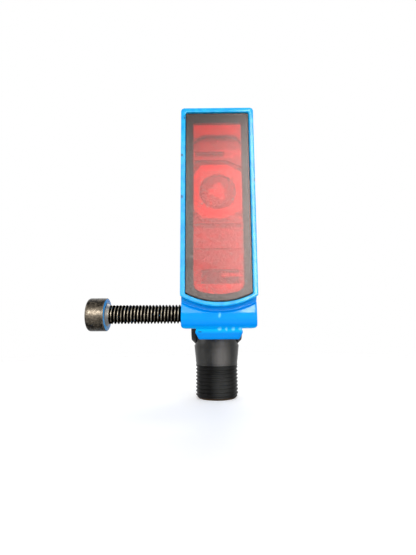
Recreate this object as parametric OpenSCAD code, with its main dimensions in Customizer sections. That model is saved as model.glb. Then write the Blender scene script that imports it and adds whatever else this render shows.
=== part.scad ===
// Compact photoelectric sensor: die-cast housing with a red front screen, optics and boards inside,
// a connector that swivels at the rear, a dovetail rail underneath and a cross screw through the foot.
// Frame: +Z up, the sensor looks along -Y, origin at the middle of the rail's foot face.
// A depth, written d, counts from the front rim towards the rear.

/* [Housing] */
// Width of the housing across the window
body_w = 15.6; // [15:0.1:17]
// Height from the rail's foot to the top
body_h = 49.5; // [49:0.1:52]
// Depth from the front rim to the rear cover
body_d = 42; // [42:0.5:46]
// Radius of the housing's edges seen from the front
corner_r = 0.6; // [0.3:0.1:1]
// Thickness of the side walls
wall = 1.3; // [1.2:0.1:1.5]
// Thickness of the rear cover
cover_t = 1.6; // [1.4:0.1:2]

/* [Window] */
// Width of the rim around the screen
rim_w = 1; // [1:0.1:1.4]
// Radius of the rim's curved lower edge
rim_arc_r = 15.1; // [14:0.1:17]
// Height of the rim's lowest point above the foot
rim_low = 6.5; // [6.2:0.1:7]
// Depth of the screen's face behind the rim
screen_set = 0.4; // [0.2:0.05:0.6]
// Thickness of the screen
screen_t = 1; // [0.8:0.1:1.1]
// Half width of the clear window inside the black seal
clear_half = 5.25; // [4.8:0.05:5.4]
// Lowest point of the clear window
clear_low = 9; // [8.8:0.1:10]
// Highest point of the clear window
clear_top = 46.6; // [45:0.1:46.9]

/* [Optics] */
// Height of the optical axis
lens_z = 31.1; // [31:0.1:31.5]
// Radius of the lens
lens_r = 3.85; // [3:0.05:4]

/* [Foot, rail and cross screw] */
// Height of the cross screw's axis
screw_z = 5.3; // [5.2:0.1:5.5]
// Depth of the cross screw's axis behind the rim
screw_d = 5.6; // [5.4:0.1:6]
// Radius of the round foot that the screw runs through
foot_r = 3.05; // [2.9:0.05:3.1]
// Radius of the screw hole
screw_hole_r = 2.1; // [2.1:0.05:2.3]
// Length of the rail
rail_len = 20; // [16:0.5:20]
// Depth of the rail's middle behind the rim
rail_mid = 13.5; // [13.5:0.5:15]
// Length of the screw under its head
screw_len = 25; // [20:1:30]
// Length of thread that stands out of the foot
screw_out = 15.85; // [6:0.05:18]

/* [Connector] */
// Depth of the connector's axis behind the rim
plug_d = 35; // [35:0.1:35.4]
// Height of the swivel axis
swivel_z = 3.2; // [3.1:0.1:3.3]
// Radius of the connector's thread
plug_r = 6; // [5.8:0.05:6]
// Pitch of the connector's thread
plug_pitch = 1; // [0.8:0.1:1.25]
// Height of the connector's open end
plug_end = -16.8; // [-18:0.1:-16]
// Radius of the circle that the contacts stand on
contact_circle_r = 3.5; // [3.3:0.05:3.6]

/* [Hidden] */
$fn = 64;
corner_steps = 8;
edge_steps = 40;
front = -rail_mid;
half_w = body_w / 2;
inner_half = half_w - wall;
screen_half = half_w - rim_w;
rim_arc_z = rim_low + rim_arc_r;
rim_low_w = 0.85;
rim_top_w = 0.95;
screen_arc_r = rim_arc_r - rim_low_w;
screen_top = body_h - rim_top_w;
pocket_d = screen_set + screen_t + 0.35;
ledge_d = 3.2;
foot_low = screw_z - foot_r;
foot_front_d = screw_d - foot_r;
foot_floor = foot_low + 0.5;
groove_w = 1;
groove_d = foot_front_d + 0.45;
cove_r = 0.7;
floor_low = 4;
floor_front = 10;
floor_front_d = 10;
notch_d = 28.6;
notch_z = 10;
notch_wall = 1.4;
shell_end_d = body_d - cover_t - 0.4;
ceiling_z = body_h - 2.5;
panel_d0 = 20;
panel_d1 = 38;
panel_half = 5.2;
panel_pocket = 1.2;
panel_t = 1;
post_x = 5.2;
post_half = 1.35;
post_len = 7;
post_low_z = notch_z + notch_wall + post_half;
post_top_z = ceiling_z - post_half;
cover_screw_r = 1;
cover_head_r = 1.7;
knob_d = 25;
knob_head_r = 2.2;
knob_shaft_r = 1.5;
selector_d = 33;
selector_head_r = 1.8;
selector_shaft_r = 1.2;
pipe_d = 29;
pipe_x = 2.9;
pipe_r = 0.9;
carrier_d0 = 1.9;
carrier_d1 = 14;
lens_bore_r = lens_r + 0.1;
chamber_half = 5;
chamber_low = 26.5;
chamber_top = 37;
chamber_d0 = 6;
lens_plate_t = 0.7;
arch_half = 5.3;
arch_low = 40.5;
arch_top = 44.1;
arch_r = 2.6;
arch_depth = 1.3;
arch_groove_w = 0.95;
arch_pad_depth = 0.6;
// Recesses in the carrier's face: left, right, lower and upper limit, and depth
carrier_recesses = [
    [-4.9, 1.5, 39.1, 40.2, 0.8], [-4.9, 4.9, 23, 24, 0.6], [-4.9, 4.9, 18.2, 18.6, 0.4],
    [-3.6, 0.5, 11.2, 14.2, 1], [0.4, 4.1, 11.2, 12.7, 1], [0.4, 4.1, 13.4, 14.2, 1]
];
slant_depth = 0.6;
board_t = 1;
cheek_in = 5.6;
cheek_out = 7.2;
cheek_r = 5;
hub_half = 5.3;
hub_r = 4.8;
stem_half = 3.4;
hub_top = swivel_z + hub_r;
lead_hole_r = 2;
yoke_screw_gap = 3.5;
yoke_head_r = 1.15;
pin_r = 1.5;
neck_top = -2.2;
neck_waist = 0.15;
neck_flare = 0.45;
skirt_top = -0.4;
thread_top = -7.6;
socket_r = 4.8;
socket_floor = -8.6;
contact_r = 0.5;
lead_header_z = 15;
screw_r = 2;
screw_pitch = 0.7;
screw_head_r = 3.5;
screw_head_h = 3.85;
under_head_x = -half_w - screw_out;

// Outline in X and Z, made solid from depth d0 to depth d1
module along_depth(d0, d1) {
    translate([0, front + d1, 0]) rotate([90, 0, 0]) linear_extrude(d1 - d0) children();
}

// Outline in Y and Z, made solid from x0 to x1
module across(x0, x1) {
    translate([x0, 0, 0]) rotate([90, 0, 90]) linear_extrude(x1 - x0) children();
}

// Box given by its limits in x, depth and z
module block(x0, x1, d0, d1, z0, z1) {
    translate([x0, front + d0, z0]) cube([x1 - x0, d1 - d0, z1 - z0]);
}

// Cylinder along Y given by its limits in depth
module rod_along_depth(x, z, r, d0, d1) {
    translate([x, front + d1, z]) rotate([90, 0, 0]) cylinder(r = r, h = d1 - d0);
}

// Cylinder along X given by its limits in x
module rod_across(d, z, r, x0, x1) {
    translate([x0, front + d, z]) rotate([0, 90, 0]) cylinder(r = r, h = x1 - x0);
}

// Upright cylinder at a depth
module rod_up(x, d, r, z0, z1) {
    translate([x, front + d, z0]) cylinder(r = r, h = z1 - z0);
}

// Points of an arc about c from angle a0 to a1
function arc_points(c, r, a0, a1, steps) = [
    for (i = [0 : steps]) let (a = a0 + (a1 - a0) * i / steps) c + r * [cos(a), sin(a)]
];

// Rectangle with four round corners
module round_rect(x0, x1, z0, z1, r) {
    polygon(concat(
        arc_points([x1 - r, z1 - r], r, 0, 90, corner_steps),
        arc_points([x0 + r, z1 - r], r, 90, 180, corner_steps),
        arc_points([x0 + r, z0 + r], r, 180, 270, corner_steps),
        arc_points([x1 - r, z0 + r], r, 270, 360, corner_steps)
    ));
}

// Window outline: straight sides and top, and a lower edge on an arc about the rim's centre
module window_outline(half, top, arc_r, r) {
    spread = asin(half / arc_r);
    polygon(concat(
        arc_points([half - r, top - r], r, 0, 90, corner_steps),
        arc_points([r - half, top - r], r, 90, 180, corner_steps),
        arc_points([0, rim_arc_z], arc_r, 270 - spread, 270 + spread, edge_steps)
    ));
}

// Clear window in the seal: square top corners, and round lower corners that run into a shallow arc
module clear_outline(grow) {
    low_r = 1.8;
    arc_r = 13.5;
    half = clear_half + grow;
    top = clear_top + grow;
    arc_z = clear_low - grow + arc_r;
    spread = asin((half - low_r) / (arc_r - low_r));
    corner_z = arc_z - (arc_r - low_r) * cos(spread);
    polygon(concat(
        [[half, top], [-half, top]],
        arc_points([low_r - half, corner_z], low_r, 180, 270 - spread, corner_steps),
        arc_points([0, arc_z], arc_r, 270 - spread, 270 + spread, edge_steps),
        arc_points([half - low_r, corner_z], low_r, 270 + spread, 360, corner_steps)
    ));
}

// Half outline of a threaded rod from height 0 to length, with ring-shaped ridges
function ridge_points(r, pitch, depth, length, lead) = [
    [0, 0], [r - lead, 0],
    for (i = [0 : floor((length - lead) / pitch) - 1])
        for (p = [[0, r - depth], [0.12, r - depth], [0.42, r], [0.62, r], [0.92, r - depth]])
            [p[1], lead + (i + p[0]) * pitch],
    [r - depth, length], [0, length]
];

// Upright threaded rod standing on its pointed end
module ridged_rod(r, pitch, depth, length, lead) {
    rotate_extrude() polygon(ridge_points(r, pitch, depth, length, lead));
}

// Places of the four corner posts that the rear cover screws into
module at_posts() {
    for (x = [-post_x, post_x], z = [post_low_z, post_top_z]) translate([x, 0, z]) children();
}

// Outline of the foot seen from the side: round lower edge, front face that leans back above the screw's axis
module foot_outline() {
    top = notch_z + 3;
    edge_r = 0.9;
    lean_z0 = screw_z + 0.15;
    lean_z1 = screw_z + 2.1;
    lean = 0.35;
    boss_end = front + screw_d + foot_r;
    face = front + foot_front_d;
    polygon(concat(
        arc_points([face + edge_r, foot_low + edge_r], edge_r, 180, 270, corner_steps),
        [
            [boss_end, foot_low], [boss_end + 0.6, foot_floor], [front + notch_d, foot_floor],
            [front + notch_d, top], [face + lean, top], [face + lean, lean_z1], [face, lean_z0]
        ]
    ));
}

// Foot with a groove that follows the rim's lower edge
module foot() {
    deep_d = ledge_d - groove_d;
    difference() {
        intersection() {
            across(-half_w, half_w) foot_outline();
            along_depth(0, notch_d + 1) round_rect(-half_w, half_w, foot_low, notch_z + 4, corner_r);
        }
        intersection() {
            along_depth(-1, ledge_d) translate([0, rim_arc_z]) circle(rim_arc_r + groove_w, $fn = 180);
            across(-half_w - 1, half_w + 1) translate([front, 0]) polygon([
                [-1, 0], [groove_d, 0], [groove_d, rim_low - 0.3], [groove_d + deep_d, rim_low + 0.7],
                [groove_d + deep_d, notch_z + 4], [-1, notch_z + 4]
            ]);
        }
    }
}

// Hollow curve between the rim's underside and the groove, ending just short of both
module cove() {
    bite = 0.2;
    lip = 0.2;
    intersection() {
        block(-half_w, half_w, 0, groove_d + bite, foot_low, notch_z);
        translate([0, front + groove_d, rim_arc_z]) rotate([90, 0, 0]) rotate_extrude($fn = 180)
            difference() {
                translate([rim_arc_r - bite, -bite]) square([cove_r - lip + bite, cove_r - lip + bite]);
                translate([rim_arc_r + cove_r, cove_r]) circle(cove_r);
            }
    }
}

// Solid outside form of the housing, before it is hollowed
module housing_form() {
    along_depth(0, ledge_d) window_outline(half_w, body_h, rim_arc_r, corner_r);
    along_depth(ledge_d, shell_end_d) round_rect(-half_w, half_w, notch_z, body_h, corner_r);
    foot();
    cove();
    rail();
}

// Dovetail rail with pointed flanks under the foot
module rail() {
    foot_half = 4.15;
    flank_half = 4.95;
    flank_z = 1.45;
    neck_half = 4.4;
    along_depth(rail_mid - rail_len / 2, rail_mid + rail_len / 2)
        polygon([
            [-foot_half, 0], [foot_half, 0], [flank_half, flank_z],
            [neck_half, foot_floor + 0.2], [-neck_half, foot_floor + 0.2], [-flank_half, flank_z]
        ]);
}

module housing() color("dodgerblue") {
    difference() {
        housing_form();
        // Pocket for the screen and the window through its ledge
        along_depth(-1, pocket_d) window_outline(screen_half, screen_top, screen_arc_r, 0.3);
        along_depth(pocket_d - 1, ledge_d + 1) clear_outline(0.15);
        // Inside space, deeper behind the foot
        block(-inner_half, inner_half, ledge_d, shell_end_d + 1, notch_z + notch_wall, ceiling_z);
        block(-inner_half, inner_half, ledge_d, floor_front_d + 1, floor_front, notch_z + 2);
        block(-inner_half, inner_half, floor_front_d, notch_d - notch_wall, floor_low, notch_z + 2);
        screw_hole();
        // Lead hole down to the connector, and the holes for its yoke's screws
        rod_up(0, plug_d, lead_hole_r, notch_z - 1, notch_z + 3);
        at_yoke_screws() rod_up(0, plug_d, 0.8, notch_z - 1, notch_z + 3);
        // Control panel pocket with its shaft and light pipe holes
        translate([0, 0, body_h - panel_pocket]) linear_extrude(panel_pocket + 1)
            translate([0, front]) round_rect(-panel_half, panel_half, panel_d0, panel_d1, 1);
        shaft_hole(knob_d, knob_shaft_r);
        shaft_hole(selector_d, selector_shaft_r);
        for (x = [-pipe_x, pipe_x]) rod_up(x, pipe_d, pipe_r + 0.1, ceiling_z - 1, body_h);
    }
    // Corner posts for the rear cover's screws
    at_posts() difference() {
        block(-post_half, post_half, shell_end_d - post_len, shell_end_d, -post_half, post_half);
        rod_along_depth(0, 0, cover_screw_r, shell_end_d - post_len + 1, shell_end_d + 1);
    }
}

// Through hole for the cross screw, countersunk at both mouths
module screw_hole() {
    mouth = 0.6;
    rod_across(screw_d, screw_z, screw_hole_r, -half_w - 1, half_w + 1);
    for (side = [-1, 1]) translate([side * half_w, front + screw_d, screw_z]) rotate([0, -side * 90, 0])
        translate([0, 0, -0.1]) cylinder(r1 = screw_hole_r + mouth + 0.1, r2 = screw_hole_r, h = mouth + 0.1);
}

// Stepped hole for a control shaft and the ring that seals it
module shaft_hole(d, r) {
    rod_up(0, d, r + 0.2, ceiling_z - 1, body_h);
    rod_up(0, d, r + 0.85, ceiling_z - 1, ceiling_z + 0.8);
}

module rear_cover() color("dodgerblue") {
    difference() {
        along_depth(body_d - cover_t, body_d) round_rect(-half_w, half_w, notch_z, body_h, corner_r);
        at_posts() {
            rod_along_depth(0, 0, cover_screw_r + 0.1, body_d - cover_t - 1, body_d + 1);
            translate([0, front + body_d + 0.01, 0]) rotate([90, 0, 0])
                cylinder(r1 = cover_head_r + 0.05, r2 = cover_screw_r + 0.1, h = 0.9);
        }
    }
}

module rear_gasket() color([0.1, 0.1, 0.1]) {
    along_depth(shell_end_d, body_d - cover_t) difference() {
        round_rect(-half_w + 0.4, half_w - 0.4, notch_z + 0.4, body_h - 0.4, corner_r);
        translate([-inner_half, notch_z + notch_wall])
            square([2 * inner_half, ceiling_z - notch_z - notch_wall]);
    }
}

module rear_cover_screws() color("silver") {
    at_posts() {
        rod_along_depth(0, 0, cover_screw_r - 0.02, body_d - 7, body_d - 0.8);
        translate([0, front + body_d - 0.1, 0]) rotate([90, 0, 0]) difference() {
            cylinder(r1 = cover_head_r - 0.1, r2 = cover_screw_r - 0.02, h = 0.8);
            translate([0, 0, -0.1]) cylinder(r = 0.65, h = 0.5, $fn = 6);
        }
    }
}

module front_screen() color([0.75, 0.12, 0.12, 0.6]) {
    along_depth(screen_set, screen_set + screen_t)
        window_outline(screen_half - 0.05, screen_top - 0.05, screen_arc_r - 0.05, 0.3);
}

module screen_seal() color([0.08, 0.08, 0.08]) {
    along_depth(screen_set + screen_t, pocket_d) difference() {
        window_outline(screen_half - 0.1, screen_top - 0.1, screen_arc_r - 0.1, 0.3);
        clear_outline(0);
    }
}

// Arch with round upper corners, seen from the front
module arch_outline(half, z0, z1, r) {
    polygon(concat(
        [[-half, z0], [half, z0]],
        arc_points([half - r, z1 - r], r, 0, 90, corner_steps),
        arc_points([r - half, z1 - r], r, 90, 180, corner_steps)
    ));
}

// Eight-sided plate outline around the lens
module lens_plate_outline(grow) {
    half = clear_half - 0.15 + grow;
    polygon([
        [-3.4, 37.1 + grow], [1.8, 37.1 + grow], [half, 35.4], [half, 27],
        [1.4, 25.2 - grow], [-3.2, 25.2 - grow], [-half, 27], [-half, 34.9]
    ]);
}

// Bar above the lens plate that bends down along the plate's slanted corner
module slant_outline() {
    end = clear_half + 0.2;
    polygon([[-4.9, 37.1], [1.8, 37.1], [end, 35.4], [end, 36.5], [1.9, 38.2], [-4.9, 38.2]]);
}

module optics_carrier() color([0.85, 0.85, 0.83]) difference() {
    union() {
        along_depth(carrier_d0, ledge_d + 0.2) clear_outline(-0.1);
        block(-inner_half + 0.2, inner_half - 0.2, ledge_d + 0.1, carrier_d1, floor_front + 0.3, ceiling_z - 0.3);
    }
    // Light trap above the lens: a sunk pad with an arched top, open at the sides, and a groove over it
    along_depth(carrier_d0 - 1, carrier_d0 + arch_pad_depth) arch_outline(arch_half, arch_low, arch_top, arch_r);
    along_depth(carrier_d0, carrier_d0 + arch_depth) difference() {
        arch_outline(arch_half, arch_low, arch_top, arch_r);
        arch_outline(arch_half, arch_low - 1, arch_top - arch_groove_w, arch_r);
    }
    // Grooves of the moulding, and the stepped recess below them
    for (r = carrier_recesses) block(r[0], r[1], carrier_d0 - 1, carrier_d0 + r[4], r[2], r[3]);
    along_depth(carrier_d0 - 1, carrier_d0 + slant_depth) slant_outline();
    along_depth(carrier_d0 - 1, carrier_d0 + lens_plate_t) lens_plate_outline(0.05);
    rod_along_depth(0, lens_z, lens_bore_r, carrier_d0, chamber_d0 + 1);
    block(-chamber_half, chamber_half, chamber_d0, carrier_d1 + 1, chamber_low, chamber_top);
}

module lens_plate() color([0.9, 0.88, 0.86]) {
    along_depth(carrier_d0, carrier_d0 + lens_plate_t) difference() {
        lens_plate_outline(0);
        translate([0, lens_z]) circle(lens_bore_r);
    }
}

module lens() color([0.8, 0.85, 0.9, 0.5]) {
    bulge_r = 9;
    intersection() {
        rod_along_depth(0, lens_z, lens_r, 1.8, 4.9);
        translate([0, front + 2 + bulge_r, lens_z]) rotate([90, 0, 0]) sphere(bulge_r);
    }
}

module lens_retainer() color([0.1, 0.1, 0.1]) {
    along_depth(4.95, 5.9) translate([0, lens_z]) difference() {
        circle(lens_bore_r - 0.05);
        circle(lens_r - 0.9);
    }
}

module beam_splitter() color([0.7, 0.8, 0.85, 0.6]) {
    translate([0, front + 9.4, lens_z]) rotate([45, 0, 0])
        cube([2 * chamber_half, 6.5, 0.8], center = true);
}

module emitter_led() color([0.85, 0.2, 0.2]) {
    rod_along_depth(0, lens_z, 1.4, 12.4, carrier_d1 + 0.1);
    intersection() {
        rod_along_depth(0, lens_z, 1.4, 11.4, 12.5);
        translate([0, front + 12.8, lens_z]) sphere(1.4);
    }
}

module receiver_diode() color([0.12, 0.12, 0.14]) {
    block(-1.6, 1.6, 8, 11, chamber_top - 1.2, chamber_top);
}

module optics_board() color("darkgreen") {
    block(-inner_half + 0.3, inner_half - 0.3, carrier_d1 + 0.1, carrier_d1 + 0.1 + board_t, 11, 46.5);
}

module board_link() color([0.15, 0.15, 0.15]) {
    block(-4.5, -2.2, carrier_d1 + 0.1 + board_t, 18, 20, 24);
}

module main_board() color("darkgreen") {
    block(-5.5, -4.5, 15.6, 38, 15, 38);
}

module shield_can() color("silver") {
    block(-4.5, -1.5, 18.5, 27, 26, 36);
}

module processor_chip() color([0.12, 0.12, 0.13]) {
    block(-4.5, -3.4, 29, 35, 27, 33);
}

module capacitors() color([0.2, 0.22, 0.3]) {
    for (d = [22, 27.5]) rod_across(d, 18.5, 2, -4.5, 0.5);
}

module control_board() color("darkgreen") {
    block(-5.8, 5.8, 20, 37, 38.3, 39.3);
}

module sensitivity_trimmer() color("royalblue") {
    block(-3, 3, knob_d - 3, knob_d + 3, 39.3, 43);
}

module mode_switch() color([0.15, 0.15, 0.15]) {
    block(-2.6, 2.6, selector_d - 2.4, selector_d + 2.6, 39.3, 43);
}

module indicator_leds() color([0.95, 0.95, 0.9]) {
    for (x = [-pipe_x, pipe_x]) block(x - 0.8, x + 0.8, pipe_d - 0.6, pipe_d + 0.6, 39.3, 42.8);
}

module control_panel() color([0.12, 0.12, 0.12]) {
    clear = 0.05;
    difference() {
        translate([0, front, body_h - panel_pocket]) linear_extrude(panel_t)
            round_rect(-panel_half + clear, panel_half - clear, panel_d0 + clear, panel_d1 - clear, 1);
        rod_up(0, knob_d, knob_head_r + 0.2, body_h - 3, body_h + 1);
        rod_up(0, selector_d, selector_head_r + 0.2, body_h - 3, body_h + 1);
        for (x = [-pipe_x, pipe_x]) rod_up(x, pipe_d, pipe_r + 0.05, body_h - 3, body_h + 1);
    }
}

// Control shaft with a slotted head level with the panel
module control_shaft(d, head_r, shaft_r) {
    head_top = body_h - 0.3;
    head_low = body_h - panel_pocket + 0.1;
    difference() {
        union() {
            rod_up(0, d, head_r, head_low, head_top);
            rod_up(0, d, shaft_r, 43.1, head_low + 0.1);
        }
        block(-head_r * 0.85, head_r * 0.85, d - 0.3, d + 0.3, head_top - 0.45, head_top + 1);
    }
}

module sensitivity_knob() color("white") control_shaft(knob_d, knob_head_r, knob_shaft_r);

module mode_selector() color("white") control_shaft(selector_d, selector_head_r, selector_shaft_r);

module shaft_seals() color([0.1, 0.1, 0.1]) {
    ring_r = 0.33;
    for (s = [[knob_d, knob_shaft_r], [selector_d, selector_shaft_r]])
        translate([0, front + s[0], ceiling_z + 0.4]) rotate_extrude()
            translate([s[1] + ring_r + 0.05, 0]) circle(ring_r, $fn = 32);
}

module light_pipe(x) {
    rod_up(x, pipe_d, pipe_r, 42.9, body_h - 0.15);
}

module power_light_pipe() color([0.4, 0.9, 0.45, 0.7]) light_pipe(-pipe_x);

module output_light_pipe() color([0.95, 0.8, 0.2, 0.7]) light_pipe(pipe_x);

// Black fork that carries the swivelling connector in the notch
module connector_yoke() color([0.12, 0.12, 0.12]) difference() {
    union() {
        block(-cheek_out, cheek_out, notch_d + 0.2, plug_d + cheek_r, hub_top + 0.3, notch_z);
        for (side = [-1, 1]) cheek(side);
    }
    rod_across(plug_d, swivel_z, pin_r, -half_w, half_w);
    rod_up(0, plug_d, lead_hole_r, 5, notch_z + 1);
    at_yoke_screws() {
        rod_up(0, plug_d, 0.8, 5, notch_z + 1);
        rod_up(0, plug_d, yoke_head_r + 0.1, 5, hub_top + 0.9);
    }
}

// One cheek of the fork, round below and bevelled on its outer edge
module cheek(side) {
    bevel = 1.2;
    flat = cheek_out - bevel - cheek_in;
    mirror([side < 0 ? 1 : 0, 0, 0]) {
        translate([cheek_in, front + plug_d, swivel_z]) rotate([0, 90, 0]) {
            cylinder(r = cheek_r, h = flat);
            translate([0, 0, flat]) cylinder(r1 = cheek_r, r2 = cheek_r - bevel, h = bevel);
        }
        block(cheek_in, cheek_out, plug_d - cheek_r + 0.6, plug_d + cheek_r - 0.6, swivel_z, notch_z);
    }
}

// Places of the two screws that hold the fork, before and behind the leads
module at_yoke_screws() {
    for (y = [-yoke_screw_gap, yoke_screw_gap]) translate([0, y, 0]) children();
}

module yoke_screws() color("silver") {
    at_yoke_screws() {
        rod_up(0, plug_d, 0.78, hub_top + 0.8, notch_z + 2.4);
        rod_up(0, plug_d, yoke_head_r, hub_top + 0.35, hub_top + 0.85);
    }
}

module swivel_pin() color("lightgray") {
    rod_across(plug_d, swivel_z, pin_r, -cheek_out + 0.2, cheek_out - 0.2);
}

// Front of the neck, carried up before the hub and cut round so that it clears the fork
module neck_skirt() difference() {
    intersection() {
        rod_up(0, plug_d, plug_r + neck_flare, neck_top - 0.1, skirt_top);
        block(-half_w, half_w, plug_d - half_w, plug_d, neck_top - 1, swivel_z);
    }
    rod_across(plug_d, swivel_z, cheek_r + 0.35, -half_w, half_w);
}

// Swivelling connector: hub on the pin, tapered neck and threaded end with an open socket
module connector_body() color([0.11, 0.11, 0.11]) difference() {
    union() {
        rod_across(plug_d, swivel_z, hub_r, -hub_half, hub_half);
        block(-hub_half, hub_half, plug_d - stem_half, plug_d + stem_half, neck_top - 0.5, swivel_z);
        neck_skirt();
        translate([0, front + plug_d, thread_top - 0.2])
            cylinder(r1 = plug_r - neck_waist, r2 = plug_r + neck_flare, h = neck_top - thread_top + 0.2);
        translate([0, front + plug_d, plug_end])
            ridged_rod(plug_r, plug_pitch, 0.5, thread_top - plug_end, 0.7);
    }
    rod_across(plug_d, swivel_z, pin_r + 0.05, -half_w, half_w);
    rod_up(0, plug_d, socket_r, plug_end - 1, socket_floor);
    // Lead way up through the neck, open over the quarter turn that the hub makes
    rod_up(0, plug_d, 3.2, socket_floor - 1, -2);
    rod_up(0, plug_d, 2.6, -3, hub_top + 1);
    block(-2.2, 2.2, plug_d, plug_d + hub_r + 1, swivel_z - 2.2, hub_top + 1);
}

module contact_insert() color([0.14, 0.14, 0.14]) {
    key_w = 1.4;
    difference() {
        union() {
            rod_up(0, plug_d, socket_r - 0.02, socket_floor - 0.9, socket_floor);
            // Coding key on the socket's wall
            translate([0, front + plug_d, 0]) rotate([0, 0, 45])
                translate([socket_r - 0.75, -key_w / 2, plug_end + 1.2])
                cube([0.6, key_w, socket_floor - plug_end - 1.5]);
        }
        at_contacts() translate([0, 0, -20]) cylinder(r = contact_r, h = 30);
    }
}

// Places of the four contacts
module at_contacts() {
    for (a = [0 : 90 : 270]) translate([0, front + plug_d, 0]) rotate([0, 0, a])
        translate([contact_circle_r, 0, 0]) children();
}

module contact_pins() color("gold") {
    at_contacts() {
        translate([0, 0, plug_end + 2]) cylinder(r = contact_r, h = socket_floor - plug_end - 2);
        translate([0, 0, plug_end + 1.7]) cylinder(r1 = contact_r * 0.5, r2 = contact_r, h = 0.3);
    }
}

module connector_leads() color("saddlebrown") {
    lead_r = 0.55;
    lead_circle_r = 1.1;
    for (a = [45 : 90 : 315]) translate([lead_circle_r * cos(a), lead_circle_r * sin(a), 0])
        rod_up(0, plug_d, lead_r, hub_top + 0.2, lead_header_z);
}

module lead_header() color([0.9, 0.88, 0.8]) {
    block(-4.5, 2.2, plug_d - 1.9, plug_d + 1.9, lead_header_z, lead_header_z + 3);
}

// Socket head cap screw lying in the foot's hole, head to the left
module mounting_screw() color([0.25, 0.23, 0.21]) {
    neck = 0.6;
    translate([under_head_x, front + screw_d, screw_z]) rotate([0, 90, 0]) {
        difference() {
            union() {
                translate([0, 0, -screw_head_h]) cylinder(r1 = screw_head_r - 0.4, r2 = screw_head_r, h = 0.4);
                translate([0, 0, 0.4 - screw_head_h]) cylinder(r = screw_head_r, h = screw_head_h - 0.4);
            }
            translate([0, 0, -screw_head_h - 1]) cylinder(r = 1.732, h = 3, $fn = 6);
        }
        cylinder(r1 = screw_r + 0.35, r2 = screw_r - 0.3, h = neck);
        translate([0, 0, screw_len]) rotate([180, 0, 0])
            ridged_rod(screw_r, screw_pitch, 0.4, screw_len - 0.1, 0.4);
    }
}

housing();
rear_cover();
rear_gasket();
rear_cover_screws();
front_screen();
screen_seal();
optics_carrier();
lens_plate();
lens();
lens_retainer();
beam_splitter();
emitter_led();
receiver_diode();
optics_board();
board_link();
main_board();
shield_can();
processor_chip();
capacitors();
control_board();
sensitivity_trimmer();
mode_switch();
indicator_leds();
control_panel();
sensitivity_knob();
mode_selector();
shaft_seals();
power_light_pipe();
output_light_pipe();
connector_yoke();
yoke_screws();
swivel_pin();
connector_body();
contact_insert();
contact_pins();
connector_leads();
lead_header();
mounting_screw();
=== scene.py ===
import math

import bmesh
import bpy
from mathutils import Matrix, Vector


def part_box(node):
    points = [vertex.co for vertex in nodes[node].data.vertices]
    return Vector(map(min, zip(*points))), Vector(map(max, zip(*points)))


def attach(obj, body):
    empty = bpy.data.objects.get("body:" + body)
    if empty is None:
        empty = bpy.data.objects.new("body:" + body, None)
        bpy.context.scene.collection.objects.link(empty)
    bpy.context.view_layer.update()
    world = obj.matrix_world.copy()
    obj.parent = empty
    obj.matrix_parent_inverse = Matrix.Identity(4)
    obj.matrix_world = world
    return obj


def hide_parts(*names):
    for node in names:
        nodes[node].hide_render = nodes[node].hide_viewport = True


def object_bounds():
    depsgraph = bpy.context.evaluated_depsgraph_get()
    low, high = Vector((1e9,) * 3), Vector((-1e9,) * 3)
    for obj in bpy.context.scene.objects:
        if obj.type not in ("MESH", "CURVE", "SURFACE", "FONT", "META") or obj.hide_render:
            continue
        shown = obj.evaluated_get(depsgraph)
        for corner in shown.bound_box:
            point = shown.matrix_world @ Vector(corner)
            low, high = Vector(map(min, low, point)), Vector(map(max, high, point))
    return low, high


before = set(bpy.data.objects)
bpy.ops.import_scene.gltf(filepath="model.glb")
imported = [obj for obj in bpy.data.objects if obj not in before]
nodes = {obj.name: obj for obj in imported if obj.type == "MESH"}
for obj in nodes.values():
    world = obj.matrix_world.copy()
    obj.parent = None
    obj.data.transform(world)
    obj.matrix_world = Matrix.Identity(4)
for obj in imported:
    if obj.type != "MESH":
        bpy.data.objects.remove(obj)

cadLow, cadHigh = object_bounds()
mm = 0.001
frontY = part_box("housing")[0].y  # the rim's plane, where every depth starts
scene = bpy.context.scene
scene.view_settings.view_transform = "Standard"
rampEnds = (0.3, 0.7)  # where the two tints of a noise pattern lie on its ramp
spotFade = (0.4, 1.2)  # shares of a spot's half size, between which it fades out
print("frame loaded:", len(nodes), "nodes")


# Small helpers

def linearColour(hexCode):
    channels = [int(hexCode[i:i + 2], 16) / 255 for i in (1, 3, 5)]
    return [c / 12.92 if c <= 0.04045 else ((c + 0.055) / 1.055) ** 2.4 for c in channels] + [1]


def perMm(size):
    return 1000 / size  # pattern scale for a feature this many millimetres across


def wire(tree, node, links):
    for name, source in links.items():
        tree.links.new(getattr(source, "outputs", [source])[0], node.inputs[name])


def addNode(tree, kind, settings=None, links=None):
    node = tree.nodes.new("ShaderNode" + kind)
    for name, value in (settings or {}).items():
        if name == "stops":  # a colour ramp's places and colours
            while len(node.color_ramp.elements) < len(value):
                node.color_ramp.elements.new(0.5)
            for element, (position, colour) in zip(node.color_ramp.elements, value):
                element.position = position
                element.color = linearColour(colour)
        elif isinstance(name, str) and hasattr(node, name):
            setattr(node, name, value)
        else:
            node.inputs[name].default_value = value
    wire(tree, node, links or {})
    return node


def startMaterial(name, constants):
    material = bpy.data.materials.new(name)
    material.use_nodes = True
    tree = material.node_tree
    tree.nodes.clear()
    shader = addNode(tree, "BsdfPrincipled", constants)
    addNode(tree, "OutputMaterial", None, {"Surface": shader})
    place = addNode(tree, "TexCoord").outputs["Object"]
    return material, tree, shader, place


def newPiece(name, mesh, materials, body, standsFor=()):
    piece = bpy.data.objects.new(name, mesh)
    scene.collection.objects.link(piece)
    if mesh.materials:  # clearing also puts every face back on the first finish
        mesh.materials.clear()
    for material in materials:
        mesh.materials.append(material)
    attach(piece, body)
    if standsFor:
        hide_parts(*standsFor)
    return piece


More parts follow.
